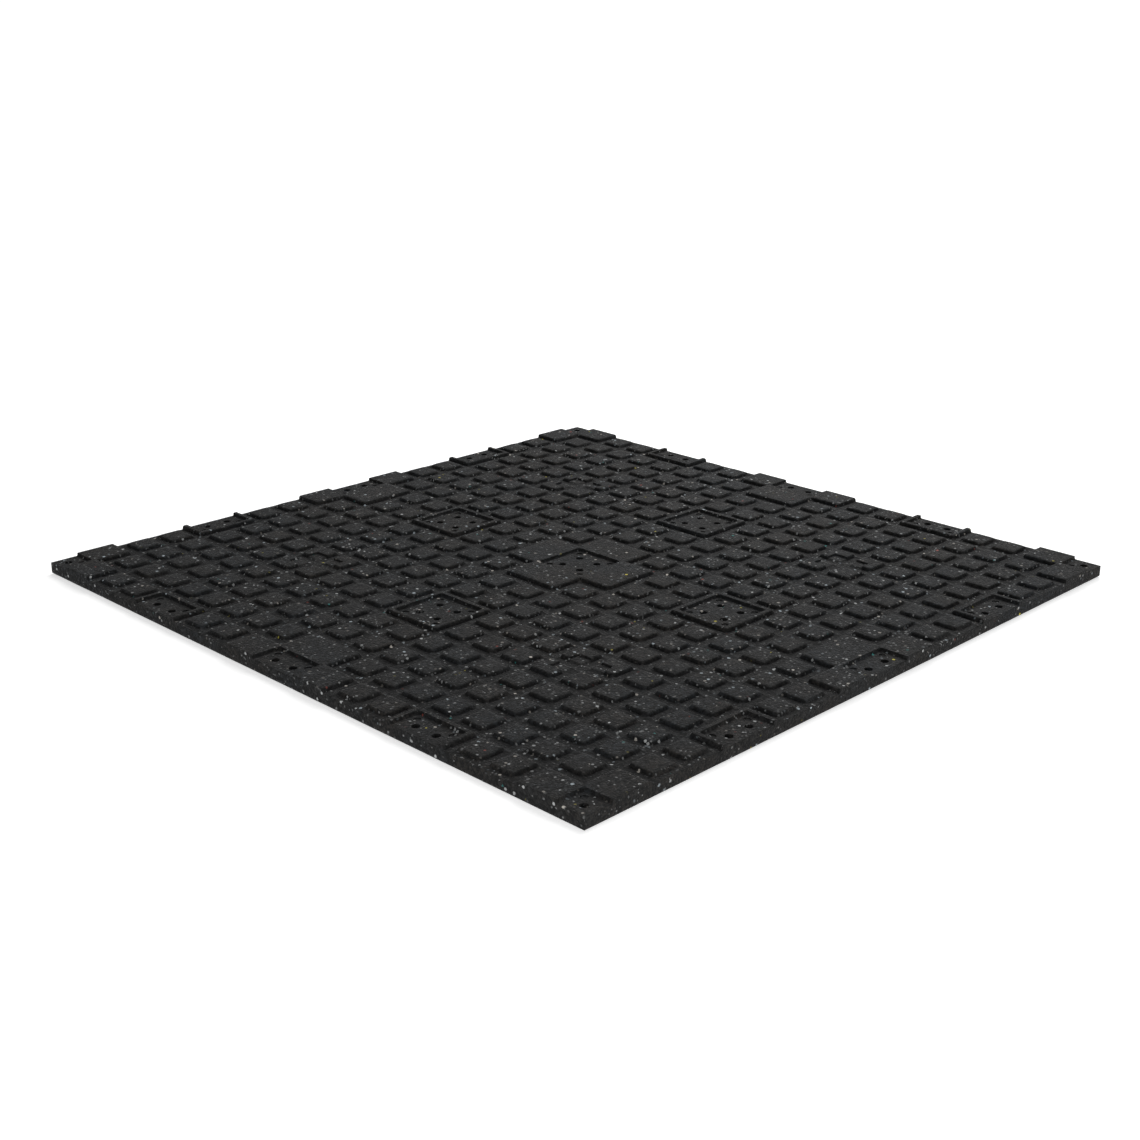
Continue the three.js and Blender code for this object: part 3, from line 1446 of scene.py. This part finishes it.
@dataclass(frozen=True)
class ViewPoint:
    """Camera at the viewing angle of the photograph. Angles are in degrees.

    Attributes:
        distance: from the middle of the tread face, in metres.
        azimuth: the camera's direction from there.
        elevation: its angle above the floor.
        look_azimuth: the direction from which it looks.
        look_elevation: the angle above the floor from which it looks.
        roll: its turn around its line of sight.
        lens: its focal length, in millimetres.
        sensor: width of its sensor, in millimetres.
        shift: sideways shift of the picture, in picture widths.
    """

    distance: float = 2.245
    azimuth: float = 44.52
    elevation: float = 20.20
    look_azimuth: float = 43.59
    look_elevation: float = 20.02
    roll: float = 0.66
    lens: float = 52.49
    sensor: float = 36.0
    shift: float = -0.0307

    def build(self) -> None:
        """Makes the camera and sets it as the scene's own."""
        data = bpy.data.cameras.new("camera")
        data.lens, data.sensor_width, data.shift_x = self.lens, self.sensor, self.shift
        camera = bpy.data.objects.new("camera", data)
        bpy.context.scene.collection.objects.link(camera)
        back = outward(self.look_azimuth, self.look_elevation)
        level = Vector((-back.y, back.x, 0.0)).normalized()
        right = Matrix.Rotation(math.radians(self.roll), 3, back) @ level
        turned = Matrix((right, back.cross(right), back)).transposed().to_4x4()
        place = outward(self.azimuth, self.elevation) * self.distance
        camera.matrix_world = Matrix.Translation(place) @ turned
        bpy.context.scene.camera = camera


@dataclass(frozen=True)
class LightPanel:
    """One square panel of soft light, turned to the middle of the tile.

    Attributes:
        name: its name.
        place: its middle, in metres.
        side: its side, in metres.
        watts: its power.
    """

    name: str
    place: tuple[float, float, float]
    side: float
    watts: float


@dataclass(frozen=True)
class Studio:
    """Plain pale floor and soft light around the tile.

    Angles are in degrees, an azimuth being counted as the camera's is.

    Attributes:
        floor_half: half of the floor's side, in metres.
        floor_drop: how far the floor lies below the tread face, in metres.
        floor_glow: a light of its own that keeps the floor even.
        sky_strength: how strongly the sky lights the tile.
        key_softness: width of the key light, as an angle.
    """

    floor_half: float = 60.0
    floor_drop: float = 0.0004
    floor_colour: Colour = (0.72, 0.72, 0.72, 1.0)
    floor_roughness: float = 0.9
    floor_gloss: float = 0.1
    floor_glow_colour: Colour = (1.0, 1.0, 1.0, 1.0)
    floor_glow: float = 0.56
    sky_colour: Colour = (1.0, 1.0, 1.0, 1.0)
    sky_strength: float = 0.30
    key_strength: float = 1.65
    key_azimuth: float = 205.0
    key_elevation: float = 53.0
    key_softness: float = 45.0
    panels: tuple[LightPanel, ...] = (
        LightPanel("top_panel", (-0.40, 1.15, 0.95), 0.7, 9.2),
        LightPanel("front_panel", (1.05, -1.25, 0.34), 0.7, 6.5),
        LightPanel("right_panel", (2.5, 0.5, 0.12), 0.22, 12.0),
    )

    def build(self) -> None:
        """Makes the floor, the sky and the lights."""
        bpy.context.scene.view_settings.view_transform = "Standard"
        self._floor()
        self._sky()
        self._key_light()
        for panel in self.panels:
            self._light_panel(panel)

    def _floor(self) -> None:
        """Makes the floor."""
        mesh = bpy.data.meshes.new("floor")
        corners = [
            (x * self.floor_half, y * self.floor_half, -self.floor_drop)
            for x, y in ((-1, -1), (1, -1), (1, 1), (-1, 1))
        ]
        mesh.from_pydata(corners, [], [(0, 1, 2, 3)])
        floor = bpy.data.objects.new("floor", mesh)
        bpy.context.scene.collection.objects.link(floor)
        tree = ShaderTree(bpy.data.materials.new("pale_floor"))
        shader = tree.node(
            "ShaderNodeBsdfPrincipled", {},
            {
                "Base Color": self.floor_colour,
                "Roughness": self.floor_roughness,
                "Specular IOR Level": self.floor_gloss,
                "Emission Color": self.floor_glow_colour,
                "Emission Strength": self.floor_glow,
            },
        )
        tree.node("ShaderNodeOutputMaterial", {}, {"Surface": tree.out(shader)})
        mesh.materials.append(tree.owner)

    def _sky(self) -> None:
        """Makes an even white sky that lights the tile only softly."""
        world = bpy.data.worlds.new("studio")
        bpy.context.scene.world = world
        tree = ShaderTree(world)
        seen = tree.out(tree.node("ShaderNodeLightPath", {}, {}), "Is Camera Ray")
        strength = self.sky_strength + (1.0 - self.sky_strength) * seen
        background = tree.node("ShaderNodeBackground", {}, {"Color": self.sky_colour, "Strength": strength})
        tree.node("ShaderNodeOutputWorld", {}, {"Surface": tree.out(background)})

    def _key_light(self) -> None:
        """Makes the broad soft light from overhead."""
        data = bpy.data.lights.new("key_light", "SUN")
        data.energy = self.key_strength
        data.angle = math.radians(self.key_softness)
        self._place_light(data, outward(self.key_azimuth, self.key_elevation))

    def _light_panel(self, panel: LightPanel) -> None:
        """Makes one light panel, which the camera doesn't see.

        Args:
            panel: the panel.
        """
        data = bpy.data.lights.new(panel.name, "AREA")
        data.energy, data.size = panel.watts, panel.side
        self._place_light(data, Vector(panel.place)).visible_camera = False

    def _place_light(self, data: bpy.types.Light, place: Vector) -> bpy.types.Object:
        """Puts a light at a place, turned to the middle of the tile.

        Args:
            data: the light.
            place: its place in metres. For a sun only the direction counts.

        Returns:
            The light as an object in the scene.
        """
        light = bpy.data.objects.new(data.name, data)
        light.location = place
        light.rotation_mode = "QUATERNION"
        light.rotation_quaternion = place.to_track_quat("Z", "Y")
        bpy.context.scene.collection.objects.link(light)
        return light


def main() -> None:
    """Builds the tile, its finish and the studio, hangs the tile under the root body and hides the imported
    tile part.
    """
    logging.basicConfig(level=logging.INFO, format="%(name)s: %(message)s")
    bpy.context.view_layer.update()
    tile_maker = RubberTile()
    tile = tile_maker.build()
    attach(tile, "root")
    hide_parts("tile")
    LOG.info("rubber tile: %d vertices, %d faces", len(tile.data.vertices), len(tile.data.polygons))
    tile_maker.dress(tile, BondedCrumb())
    LOG.info("finish: bonded crumb")
    Studio().build()
    LOG.info("studio: floor, sky and panels")
    ViewPoint().build()
    LOG.info("camera: set")


if __name__ == "__main__":
    main()
